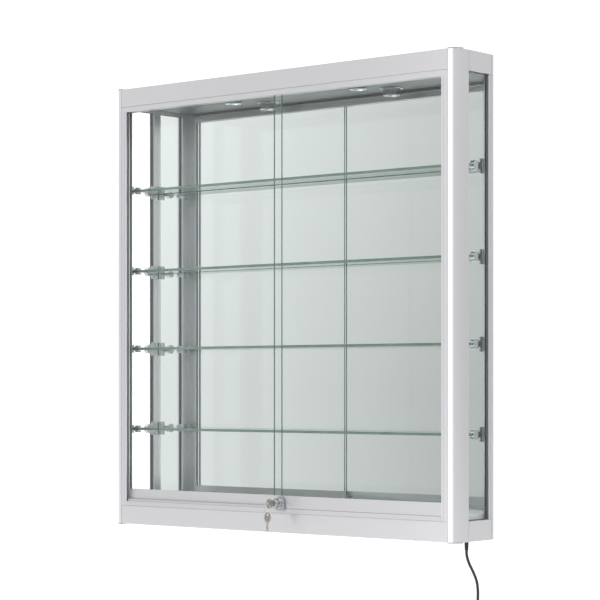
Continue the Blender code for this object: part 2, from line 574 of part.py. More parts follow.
def plug(black, top):
    """A slim two-pin plug that hangs from the coil, with its relief up and its pins down."""
    def around(wide, thick, rise, sides=16):
        turns = [2 * math.pi * i / sides for i in range(sides)]
        squared = [(abs(math.cos(t)) ** 0.6 * math.copysign(1, math.cos(t)),
                    abs(math.sin(t)) ** 0.6 * math.copysign(1, math.sin(t))) for t in turns]
        return [top + Vector((wide / 2 * a, thick / 2 * b, rise)) for a, b in squared]

    shape = bmesh.new()
    levels = [(0.0080, 0.0080, 0), (0.0100, 0.0096, -0.0160), (0.0180, 0.0120, -0.0200),
              (0.0300, 0.0138, -0.0300), (0.0330, 0.0138, -0.0460), (0.0330, 0.0138, -0.0480)]
    rows = [[shape.verts.new(co) for co in around(*level)] for level in levels]
    for upper, lower in zip(rows, rows[1:]):
        for k in range(len(upper)):
            following = (k + 1) % len(upper)
            shape.faces.new((upper[k], upper[following], lower[following], lower[k]))
    shape.faces.new(rows[0])
    shape.faces.new(rows[-1])
    bmesh.ops.recalc_face_normals(shape, faces=shape.faces)
    mesh = bpy.data.meshes.new("plug")
    shape.to_mesh(mesh)
    shape.free()
    body = node("plug", mesh, black, top.copy(), smooth=30)
    for side in (-1, 1):
        pin = top + Vector((side * 0.0093, 0, 0))
        boolean(body, rod_mesh("pin", 0.0020, (pin + Vector((0, 0, -0.0660)), pin + Vector((0, 0, -0.0470))),
                               "Z", 12), "UNION")


def main():
    global parts, cutters
    for existing in list(bpy.data.objects):
        bpy.data.objects.remove(existing)
    parts, cutters = (bpy.data.collections.new(name) for name in ("display_showcase", "cutters"))
    for home in (parts, cutters):
        bpy.context.scene.collection.children.link(home)
    silver = new_material("silver anodised aluminium", (0.60, 0.60, 0.62), 0.35, 0.9)
    grey = new_material("grey moulded plastic", (0.36, 0.36, 0.37), 0.5, 0.0)
    glass = new_material("float glass", (0.75, 0.86, 0.82), 0.03, 0.0, 0.3)
    mirror = new_material("silvered mirror", (0.80, 0.84, 0.83), 0.02, 1.0)
    backing = new_material("galvanised steel", (0.42, 0.43, 0.44), 0.5, 0.9)
    chrome = new_material("polished chrome", (0.65, 0.65, 0.66), 0.12, 1.0)
    steel = new_material("nickelled steel", (0.50, 0.49, 0.47), 0.25, 1.0)
    black = new_material("black PVC", (0.012, 0.012, 0.012), 0.45, 0.0)
    for side in (-1, 1):
        front_post(side, silver)
        rear_post(side, silver)
        for level in ("top", "bottom"):
            corner_cap(side, level, grey)
            side_rail(side, level, silver)
    fascias(silver)
    tracks(silver)
    panels(silver, backing, mirror)
    panes(glass)
    clamps(chrome)
    doors(glass, silver)
    lock(chrome)
    keys(steel)
    spots(chrome)
    mains_lead(black)


if __name__ == "__main__":
    main()
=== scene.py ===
"""Finishes, glass, small hardware and mains lead of a wall-hung glass display showcase.

Metres, +Z up. The case's back lies on y = 0 and its doors face -Y. Sizes are written as x from the middle,
depth back from the front plane, and rise up from the underside; place() turns them into the model's frame.
"""
import math

import bmesh
import bpy
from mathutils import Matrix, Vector


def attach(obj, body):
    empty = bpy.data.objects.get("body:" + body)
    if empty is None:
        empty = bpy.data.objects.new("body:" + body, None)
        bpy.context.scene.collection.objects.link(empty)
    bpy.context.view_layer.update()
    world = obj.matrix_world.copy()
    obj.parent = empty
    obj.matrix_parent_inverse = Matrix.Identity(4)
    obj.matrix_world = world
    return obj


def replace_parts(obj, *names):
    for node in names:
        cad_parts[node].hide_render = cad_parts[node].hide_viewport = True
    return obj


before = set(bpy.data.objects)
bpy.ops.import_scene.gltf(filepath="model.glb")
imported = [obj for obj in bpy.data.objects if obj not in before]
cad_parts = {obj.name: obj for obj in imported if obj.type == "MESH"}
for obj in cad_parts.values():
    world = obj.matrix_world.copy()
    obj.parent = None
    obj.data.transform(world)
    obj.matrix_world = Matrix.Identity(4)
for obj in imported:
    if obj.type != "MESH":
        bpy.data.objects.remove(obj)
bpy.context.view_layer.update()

bl_info = {
    "name": "Glass display showcase",
    "version": (1, 0, 0),
    "blender": (4, 5, 0),
    "location": "3D View > Sidebar > Showcase",
    "description": "Finishes and hardware of a wall-hung display showcase with sliding glass doors",
    "category": "Object",
}

CASE_DEPTH, CASE_TALL = 0.136, 1.032

# Places shared by several pieces, in metres
LOCK_X, LOCK_RISE = 0.0202, 0.0665
KEY_BOW_DEPTH, RING_DEPTH, SPARE_BOW_RISE, KEY_THICK = -0.0393, -0.0455, 0.0361, 0.0022
SPOT_X, SPOT_DEPTH, CEILING = 0.183, 0.071, 0.996
SHELF_RISES = (0.224, 0.416, 0.602, 0.795)
SHELF_X = 0.4805
LEAD_X, LEAD_DEPTH = 0.4620, 0.0890
COIL_RADIUS, COIL_RISE, COIL_DEPTH = 0.0320, -0.1840, 0.1250
PLUG_X, PLUG_DEPTH, PLUG_TOP = 0.4680, 0.1190, -0.2090
TURN_STEPS = 36                          # points in each turn of the coil
ROUTE_STEP = 0.008                       # between points of the lead where it isn't coiled
SEAL_FRONT, SEAL_REAR, SEAL_LOW, SEAL_HIGH = 0.0437, 0.1202, 0.0437, 0.9887
SEAL_THICK = 0.0016
RELIEF_RIBS, GRIP_RIBS = 5, 4            # flexing slots of the strain relief, finger grips of the plug

# The studio, in metres
FLOOR_HEIGHT = -1.6
SOFTBOX_WIDE, SOFTBOX_TALL = 3.44, 3.4
SOFTBOX_PLACE = (0.03, -3.8, 0.3)
BACKDROP = 1.25                          # brightness of the plain white that is seen behind the case

# Clear glass mirrors this share straight on, and more by the second number when it is looked along
GLASS_STRAIGHT, GLASS_ALONG = 0.042, 0.96
DOUBLES = 1e-6                           # points nearer than this are one


def place(x, depth, rise):
    return Vector((x, depth - CASE_DEPTH, rise - CASE_TALL / 2))


def linear(code):
    """An sRGB hex colour as linear RGB."""
    parts = [int(code[i:i + 2], 16) / 255 for i in (1, 3, 5)]
    return tuple(c / 12.92 if c <= 0.04045 else ((c + 0.055) / 1.055) ** 2.4 for c in parts)


# ---------------------------------------------------------------- settings

def colour(name, about, code):
    return bpy.props.FloatVectorProperty(name=name, description=about, default=linear(code), subtype="COLOR",
                                         size=3, min=0, max=1)


def share(name, about, value):
    return bpy.props.FloatProperty(name=name, description=about, default=value, min=0, max=1, subtype="FACTOR")


def length(name, about, value):
    return bpy.props.FloatProperty(name=name, description=about, default=value, min=0, unit="LENGTH",
                                   precision=5)


class ShowcaseFinishes(bpy.types.PropertyGroup):
    aluminium: colour("Aluminium", "Satin anodised profiles", "#cfcfd2")
    aluminium_rough: share("Aluminium roughness", "Roughness of the anodised profiles", 0.29)
    # The ceiling's dark grey is partly the sheet's own grey and partly painted shade, the shade that falls
    # under the lamp box.
    ceiling: colour("Ceiling", "Underside of the lamp box", "#6c706e")
    deck: colour("Deck", "Sheet behind the doors that goods stand on", "#cdd2cf")
    glass_tint: colour("Glass", "What one face of the float glass lets through", "#feffff")
    glass_edge: colour("Glass edge", "Ground and polished edge of the float glass", "#5a7066")
    mirror: colour("Mirror", "Silvering seen through its green-tinged glass", "#f3f7f5")
    cap: colour("Corner cap", "Moulded plastic of the corner caps", "#b9babc")
    chrome: colour("Chrome", "Polished chrome plate", "#bcbec0")
    nickel: colour("Nickel", "Nickel-plated key steel", "#b9b4aa")
    rubber: colour("Rubber", "Glazing seals", "#585a5b")
    lead: colour("Lead", "Sheath of the mains lead", "#0d0d0e")


class ShowcaseSizes(bpy.types.PropertyGroup):
    profile_edge: length("Profile edge", "Broken edge of the aluminium profiles", 0.0005)
    glass_edge: length("Glass arris", "Ground arris on the glass edges", 0.0005)
    lead_thick: length("Lead thickness", "Outside diameter of the mains lead", 0.0060)
    lead_long: length("Lead length", "Length of the mains lead from strain relief to plug", 1.80)
    screw_head: length("Screw head", "Radius of the clamp screws' pan heads", 0.0031)


class ShowcaseStage(bpy.types.PropertyGroup):
    lens: bpy.props.FloatProperty(name="Lens", description="Focal length", default=124.53, min=1,
                                  subtype="DISTANCE_CAMERA")
    turn: bpy.props.FloatProperty(name="Turn", description="Camera's turn round the case",
                                  default=math.radians(39.706), subtype="ANGLE")
    spot: bpy.props.FloatVectorProperty(name="Place", description="Camera's place", size=3,
                                        default=(3.0057, -3.6638, -0.1870), subtype="TRANSLATION")
    rise: bpy.props.FloatProperty(name="Rise", description="Camera's upward shift", default=0.1417)
    floor: length("Floor radius", "Radius of the pale floor", 13.0)
    softbox: bpy.props.FloatProperty(name="Softbox power", description="Power of the front softbox, in watts",
                                     default=50, min=0)


# ---------------------------------------------------------------- nodes and materials

def add_node(tree, kind, settings=None, feeds=None):
    """A shader node with its settings; feeds gives its inputs values, or the sockets that feed them."""
    made = tree.nodes.new("ShaderNode" + kind)
    for name, value in (settings or {}).items():
        setattr(made, name, value)
    for key, value in (feeds or {}).items():
        if isinstance(value, bpy.types.NodeSocket):
            tree.links.new(value, made.inputs[key])
        else:
            made.inputs[key].default_value = value
    return made


def blank_material(name):
    made = bpy.data.materials.new(name)
    made.use_nodes = True
    made.node_tree.nodes.clear()
    return made, made.node_tree


def rgba(value):
    return (*value[:3], 1.0)


def anodised_aluminium(name, base, rough, grain, metal=0.88):
    """Extruded, etched and anodised profile: even satin metal with faint draw lines along its length."""
    made, tree = blank_material(name)
    where = add_node(tree, "TexCoord").outputs["Object"]
    # Draw lines of a real die are about 0.3 mm apart; they're drawn 3 mm apart so that they show at all.
    across = [330.0 if axis not in grain else 4.0 for axis in "XYZ"]
    lines = add_node(tree, "TexNoise", feeds={
        "Vector": add_node(tree, "Mapping", feeds={"Vector": where, "Scale": across}).outputs["Vector"],
        "Scale": 1.0, "Detail": 2.0})
    # The etch leaves soft clouds a hand's width across.
    clouds = add_node(tree, "TexNoise", feeds={"Vector": where, "Scale": 9.0, "Detail": 3.0})
    mixed = add_node(tree, "Math", {"operation": "MULTIPLY_ADD"}, {
        0: clouds.outputs["Fac"], 1: 0.6, 2: add_node(tree, "Math", {"operation": "MULTIPLY"}, {
            0: lines.outputs["Fac"], 1: 0.4}).outputs[0]})
    tone = add_node(tree, "MapRange", feeds={"Value": mixed.outputs[0], "From Min": 0.3, "From Max": 0.7,
                                             "To Min": 0.98, "To Max": 1.0})
    skin = add_node(tree, "VectorMath", {"operation": "SCALE"}, {0: base, "Scale": tone.outputs["Result"]})
    dull = add_node(tree, "MapRange", feeds={"Value": mixed.outputs[0], "From Min": 0.3, "From Max": 0.7,
                                             "To Min": rough + 0.008, "To Max": rough - 0.008})
    shader = add_node(tree, "BsdfPrincipled", feeds={
        "Base Color": skin.outputs[0], "Metallic": metal, "Roughness": dull.outputs["Result"]})
    add_node(tree, "OutputMaterial", feeds={"Surface": shader.outputs[0]})
    return made


def float_glass(name, tint):
    """Clear float glass: a polished face that mirrors more the flatter it is looked along."""
    made, tree = blank_material(name)
    facing = add_node(tree, "LayerWeight", feeds={"Blend": 0.5}).outputs["Facing"]
    steep = add_node(tree, "Math", {"operation": "POWER"}, {0: facing, 1: 5.0})
    mirrored = add_node(tree, "Math", {"operation": "MULTIPLY_ADD"}, {
        0: steep.outputs[0], 1: GLASS_ALONG, 2: GLASS_STRAIGHT})
    clear = add_node(tree, "BsdfTransparent", feeds={"Color": rgba(tint)})
    gloss = add_node(tree, "BsdfGlossy", feeds={"Color": (0.97, 1.0, 0.985, 1.0), "Roughness": 0.0})
    shader = add_node(tree, "MixShader", feeds={0: mirrored.outputs[0], 1: clear.outputs[0],
                                                2: gloss.outputs[0]})
    add_node(tree, "OutputMaterial", feeds={"Surface": shader.outputs[0]})
    return made


def glass_edge(name, tint):
    """Ground and polished edge: the iron in the glass gathers into a deep grey-green."""
    made, tree = blank_material(name)
    where = add_node(tree, "TexCoord").outputs["Object"]
    # Polishing leaves the edge a little lighter and darker every few centimetres.
    drift = add_node(tree, "TexNoise", feeds={"Vector": where, "Scale": 24.0, "Detail": 3.0})
    tone = add_node(tree, "MapRange", feeds={"Value": drift.outputs["Fac"], "From Min": 0.3, "From Max": 0.7,
                                             "To Min": 0.82, "To Max": 1.12})
    skin = add_node(tree, "VectorMath", {"operation": "SCALE"}, {0: tint, "Scale": tone.outputs["Result"]})
    shader = add_node(tree, "BsdfPrincipled", feeds={
        "Base Color": skin.outputs[0], "Roughness": 0.14, "IOR": 1.52, "Coat Weight": 0.3})
    add_node(tree, "OutputMaterial", feeds={"Surface": shader.outputs[0]})
    return made


def silvered_mirror(name, tint):
    """Silvered float glass: a true mirror with a slight green cast."""
    made, tree = blank_material(name)
    where = add_node(tree, "TexCoord").outputs["Object"]
    # Roller wave of the glass, about 200 mm from crest to crest, too slight to bend a reflection.
    wave = add_node(tree, "TexNoise", feeds={"Vector": where, "Scale": 5.0, "Detail": 1.0})
    tone = add_node(tree, "MapRange", feeds={"Value": wave.outputs["Fac"], "To Min": 0.985, "To Max": 1.0})
    skin = add_node(tree, "VectorMath", {"operation": "SCALE"}, {0: tint, "Scale": tone.outputs["Result"]})
    shader = add_node(tree, "BsdfPrincipled", feeds={
        "Base Color": skin.outputs[0], "Metallic": 1.0, "Roughness": 0.0})
    add_node(tree, "OutputMaterial", feeds={"Surface": shader.outputs[0]})
    return made


def galvanised_steel(name):
    """Hot-dip galvanised sheet: flat grey spangles that each shine a little differently."""
    made, tree = blank_material(name)
    where = add_node(tree, "TexCoord").outputs["Object"]
    # Spangles about 10 mm across.
    spangle = add_node(tree, "TexVoronoi", feeds={"Vector": where, "Scale": 100.0, "Randomness": 1.0})
    bright = add_node(tree, "SeparateColor", feeds={"Color": spangle.outputs["Color"]}).outputs["Red"]
    tone = add_node(tree, "MapRange", feeds={"Value": bright, "To Min": 0.43, "To Max": 0.53})
    skin = add_node(tree, "CombineColor", feeds={"Red": tone.outputs[0], "Green": tone.outputs[0],
                                                 "Blue": tone.outputs[0]})
    dull = add_node(tree, "MapRange", feeds={"Value": bright, "To Min": 0.34, "To Max": 0.5})
    shader = add_node(tree, "BsdfPrincipled", feeds={
        "Base Color": skin.outputs[0], "Metallic": 0.9, "Roughness": dull.outputs["Result"]})
    add_node(tree, "OutputMaterial", feeds={"Surface": shader.outputs[0]})
    return made


def plated_metal(name, base, rough, wear):
    """Bright plate on metal: clean shine with fine handling marks."""
    made, tree = blank_material(name)
    where = add_node(tree, "TexCoord").outputs["Object"]
    # Rub marks a few millimetres long.
    rubs = add_node(tree, "TexNoise", feeds={"Vector": where, "Scale": 260.0, "Detail": 4.0})
    dull = add_node(tree, "MapRange", feeds={"Value": rubs.outputs["Fac"], "From Min": 0.35, "From Max": 0.7,
                                             "To Min": rough, "To Max": rough + wear})
    tone = add_node(tree, "MapRange", feeds={"Value": rubs.outputs["Fac"], "To Min": 1.0,
                                             "To Max": 1.0 - wear})
    skin = add_node(tree, "VectorMath", {"operation": "SCALE"}, {0: base, "Scale": tone.outputs["Result"]})
    shader = add_node(tree, "BsdfPrincipled", feeds={
        "Base Color": skin.outputs[0], "Metallic": 1.0, "Roughness": dull.outputs["Result"]})
    add_node(tree, "OutputMaterial", feeds={"Surface": shader.outputs[0]})
    return made


def moulded_plastic(name, base, rough, grit, relief):
    """Moulded plastic or rubber: a fine spark-eroded texture that spreads its shine."""
    made, tree = blank_material(name)
    where = add_node(tree, "TexCoord").outputs["Object"]
    grain = add_node(tree, "TexNoise", feeds={"Vector": where, "Scale": 1.0 / grit, "Detail": 2.0})
    raised = add_node(tree, "Bump", feeds={"Height": grain.outputs["Fac"], "Strength": relief,
                                           "Distance": 0.0002})
    tone = add_node(tree, "MapRange", feeds={"Value": grain.outputs["Fac"], "To Min": 0.92, "To Max": 1.06})
    skin = add_node(tree, "VectorMath", {"operation": "SCALE"}, {0: base, "Scale": tone.outputs["Result"]})
    shader = add_node(tree, "BsdfPrincipled", feeds={
        "Base Color": skin.outputs[0], "Roughness": rough, "Normal": raised.outputs["Normal"]})
    add_node(tree, "OutputMaterial", feeds={"Surface": shader.outputs[0]})
    return made


def finish(name):
    """The material of that name, made when it is first asked for."""
    known = bpy.data.materials.get(name)
    if known:
        return known
    look = bpy.context.scene.showcase_finishes
    makers = {
        "anodised aluminium, drawn upright": lambda n: anodised_aluminium(
            n, look.aluminium, look.aluminium_rough, "Z"),
        "anodised aluminium, drawn across": lambda n: anodised_aluminium(
            n, look.aluminium, look.aluminium_rough, "X"),
        "anodised aluminium, drawn front to back": lambda n: anodised_aluminium(
            n, look.aluminium, look.aluminium_rough, "Y"),
        # The door rails and the lower track are etched more, which makes them duller.
        "etched aluminium, drawn across": lambda n: anodised_aluminium(
            n, [0.82 * part for part in look.aluminium], look.aluminium_rough + 0.08, "X", 0.65),
        # The ceiling sheet is grey, and its colour is made darker still as painted shade under the lamp box.
        "anodised aluminium sheet, ceiling": lambda n: anodised_aluminium(
            n, look.ceiling, 0.5, "X"),
        "powder-coated aluminium sheet": lambda n: moulded_plastic(n, look.deck, 0.42, 0.0016, 0.12),
        "fired quartz": lambda n: moulded_plastic(n, linear("#e4e0d4"), 0.2, 0.0030, 0.02),
        "float glass": lambda n: float_glass(n, look.glass_tint),
        "polished glass edge": lambda n: glass_edge(n, look.glass_edge),
        "silvered mirror": lambda n: silvered_mirror(n, look.mirror),
        "galvanised steel sheet": galvanised_steel,
        "chrome plate": lambda n: plated_metal(n, look.chrome, 0.06, 0.05),
        "nickel plate": lambda n: plated_metal(n, look.nickel, 0.2, 0.14),
        "grey moulded plastic": lambda n: moulded_plastic(n, look.cap, 0.5, 0.0008, 0.25),
        "EPDM rubber": lambda n: moulded_plastic(n, look.rubber, 0.6, 0.0006, 0.2),
        "PVC sheath": lambda n: moulded_plastic(n, look.lead, 0.38, 0.0009, 0.15),
    }
    return makers[name](name)


# ---------------------------------------------------------------- shaping

def pick(*pieces):
    """Selects just these pieces, the first of them active."""
    bpy.ops.object.select_all(action="DESELECT")
    for piece in pieces:
        piece.select_set(True)
    bpy.context.view_layer.objects.active = pieces[0]


def settle(piece):
    """Puts the piece's place into its mesh, and turns its faces outwards."""
    pick(piece)
    bpy.ops.object.transform_apply(location=True, rotation=True, scale=True)
    bpy.ops.object.mode_set(mode="EDIT")
    bpy.ops.mesh.select_all(action="SELECT")
    bpy.ops.mesh.remove_doubles(threshold=DOUBLES)
    bpy.ops.mesh.normals_make_consistent(inside=False)
    bpy.ops.object.mode_set(mode="OBJECT")
    return piece


def hand_in(piece, name, body, slot, material, *more):
    piece.name = piece.data.name = name
    piece.data.materials.clear()
    for finish_name in (material, *more):
        piece.data.materials.append(finish(finish_name))
    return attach(piece, body)


def apply_modifier(piece, kind, **settings):
    pick(piece)
    bpy.ops.object.modifier_add(type=kind)
    change = piece.modifiers[-1]
    for key, value in settings.items():
        setattr(change, key, value)
    bpy.ops.object.modifier_apply(modifier=change.name)


def break_edges(piece, width, segments=2, steep=35):
    apply_modifier(piece, "BEVEL", width=width, segments=segments, limit_method="ANGLE",
                   angle_limit=math.radians(steep))


def smooth(piece, steep=20):
    """Shades rounds smooth; the steep steps of a broken edge stay flat, so that long faces do too."""
    pick(piece)
    bpy.ops.object.shade_smooth_by_angle(angle=math.radians(steep))


def merged_copy(node, name):
    """A merged copy of a CAD piece, with its flat faces whole."""
    piece = bpy.data.objects.new(name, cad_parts[node].data.copy())
    bpy.context.scene.collection.objects.link(piece)
    pick(piece)
    if piece.data.has_custom_normals:
        bpy.ops.mesh.customdata_custom_splitnormals_clear()
    bpy.ops.object.mode_set(mode="EDIT")
    bpy.ops.mesh.select_all(action="SELECT")
    bpy.ops.mesh.remove_doubles(threshold=DOUBLES)
    bpy.ops.mesh.dissolve_limited(angle_limit=math.radians(0.5))
    bpy.ops.object.mode_set(mode="OBJECT")
    return piece


def dressed(node, ending, body, slot, material, edge, steep=35, grooves=()):
    """A CAD piece's copy with broken edges, shadow grooves and smooth rounds, which stands for it."""
    piece = merged_copy(node, node + ending)
    if edge:
        break_edges(piece, edge, steep=steep)
    if grooves:
        cut(piece, *grooves)
    smooth(piece)
    hand_in(piece, node + ending, body, slot, material)
    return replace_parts(piece, node)


def cuboid(xs, depths, rises):
    low, high = place(xs[0], depths[0], rises[0]), place(xs[1], depths[1], rises[1])
    bpy.ops.object.select_all(action="DESELECT")
    bpy.ops.mesh.primitive_cube_add(size=1, location=(low + high) / 2, scale=high - low)
    return settle(bpy.context.object)


def lathed(profile, at, axis="Z", sides=32):
    """A turned piece: a circle drawn out ring by ring through (radius, height), closed at both ends.

    Height runs up, or to -Y on axis "Y", or to +X or -X on axis "X" or "-X".
    """
    bpy.ops.object.select_all(action="DESELECT")
    bpy.ops.mesh.primitive_circle_add(vertices=sides, radius=profile[0][0], fill_type="NGON",
                                      location=(0, 0, profile[0][1]))
    piece = bpy.context.object
    bpy.ops.object.transform_apply(location=True, rotation=False, scale=False)
    bpy.ops.object.mode_set(mode="EDIT")
    bpy.ops.mesh.select_all(action="SELECT")
    for (old, before), (new, after) in zip(profile, profile[1:]):
        bpy.ops.mesh.extrude_region_move(TRANSFORM_OT_translate={"value": (0, 0, after - before)})
        bpy.ops.transform.resize(value=(new / old, new / old, 1), center_override=(0, 0, after))
    bpy.ops.object.mode_set(mode="OBJECT")
    turns = {"Z": (0, 0, 0), "Y": (math.pi / 2, 0, 0), "X": (0, math.pi / 2, 0), "-X": (0, -math.pi / 2, 0)}
    piece.rotation_euler, piece.location = turns[axis], at
    return settle(piece)


def cut(piece, *tools):
    for tool in tools:
        pick(piece)
        bpy.ops.object.modifier_add(type="BOOLEAN")
        change = piece.modifiers[-1]
        change.operation, change.object, change.solver = "DIFFERENCE", tool, "EXACT"
        bpy.ops.object.modifier_apply(modifier=change.name)
        bpy.data.objects.remove(tool)
    return piece


def join(piece, *others):
    pick(piece, *others)
    bpy.ops.object.join()
    return piece


def copied(piece, name, shift):
    """Another of the same, with its own mesh, moved by shift."""
    made = bpy.data.objects.new(name, piece.data.copy())
    bpy.context.scene.collection.objects.link(made)
    pick(made)
    bpy.ops.object.mode_set(mode="EDIT")
    bpy.ops.mesh.select_all(action="SELECT")
    bpy.ops.transform.translate(value=shift)
    bpy.ops.object.mode_set(mode="OBJECT")
    made.data.name = name
    return made


# ---------------------------------------------------------------- operators

class SHOWCASE_OT_stage(bpy.types.Operator):
    """Sets up the camera, the pale floor and soft studio light"""
    bl_idname = "showcase.stage"
    bl_label = "Stage"

    def execute(self, context):
        setup = context.scene.showcase_stage
        lens = bpy.data.cameras.new("studio camera")
        lens.lens, lens.sensor_width, lens.shift_y = setup.lens, 36.0, setup.rise
        lens.clip_start, lens.clip_end = 0.1, 200.0
        camera = bpy.data.objects.new("studio camera", lens)
        camera.location = setup.spot
        camera.rotation_euler = (math.pi / 2, 0, setup.turn)
        context.scene.collection.objects.link(camera)
        context.scene.camera = camera
        context.scene.view_settings.view_transform = "Standard"

        bpy.ops.object.select_all(action="DESELECT")
        bpy.ops.mesh.primitive_circle_add(vertices=96, radius=setup.floor, fill_type="NGON",
                                          location=(0, 0, FLOOR_HEIGHT))
        floor = context.object
        floor.name = "studio floor"
        made, tree = blank_material("matt white floor paint")
        where = add_node(tree, "TexCoord").outputs["Object"]
        mottle = add_node(tree, "TexNoise", feeds={"Vector": where, "Scale": 1.5, "Detail": 2.0})
        tone = add_node(tree, "MapRange", feeds={"Value": mottle.outputs["Fac"], "To Min": 0.95,
                                                 "To Max": 0.98})
        skin = add_node(tree, "CombineColor", feeds={"Red": tone.outputs[0], "Green": tone.outputs[0],
                                                     "Blue": tone.outputs[0]})
        shader = add_node(tree, "BsdfPrincipled", feeds={"Base Color": skin.outputs[0], "Roughness": 0.8})
        add_node(tree, "OutputMaterial", feeds={"Surface": shader.outputs[0]})
        floor.data.materials.append(made)

        # The studio is bright to the left of the doors and dims to the right and behind; the backdrop that
        # the camera sees is plain white.
        world = bpy.data.worlds.new("white studio")
        context.scene.world = world
        world.use_nodes = True
        tree = world.node_tree
        tree.nodes.clear()
        way = add_node(tree, "SeparateXYZ", feeds={"Vector": add_node(tree, "TexCoord").outputs["Generated"]})
        left = add_node(tree, "MapRange", feeds={"Value": way.outputs["X"], "From Min": -0.72,
                                                 "From Max": -0.50, "To Min": 0.94, "To Max": 0.29})
        right = add_node(tree, "MapRange", feeds={"Value": way.outputs["X"], "From Min": -0.45,
                                                  "From Max": 0.30, "To Min": 0.0, "To Max": 0.42})
        around = add_node(tree, "Math", {"operation": "ADD"}, {0: left.outputs["Result"],
                                                               1: right.outputs["Result"]})
        above = add_node(tree, "Math", {"operation": "MAXIMUM"}, {0: way.outputs["Z"], 1: 0.0})
        strength = add_node(tree, "Math", {"operation": "MULTIPLY_ADD"}, {
            0: above.outputs[0], 1: 1.0, 2: around.outputs[0]})
        seen = add_node(tree, "LightPath").outputs["Is Camera Ray"]
        studio = add_node(tree, "Background", feeds={"Color": (1.0, 1.0, 1.0, 1.0),
                                                     "Strength": strength.outputs[0]})
        backdrop = add_node(tree, "Background", feeds={"Color": (1.0, 1.0, 1.0, 1.0),
                                                       "Strength": BACKDROP})
        both = add_node(tree, "MixShader", feeds={0: seen, 1: studio.outputs[0], 2: backdrop.outputs[0]})
        add_node(tree, "OutputWorld", feeds={"Surface": both.outputs[0]})

        glow = bpy.data.lights.new("front softbox", "AREA")
        glow.shape, glow.size, glow.size_y = "RECTANGLE", SOFTBOX_WIDE, SOFTBOX_TALL
        glow.energy = setup.softbox
        softbox = bpy.data.objects.new("front softbox", glow)
        softbox.location = SOFTBOX_PLACE
        softbox.rotation_euler = (math.pi / 2, 0, 0)
        context.scene.collection.objects.link(softbox)
        return {"FINISHED"}


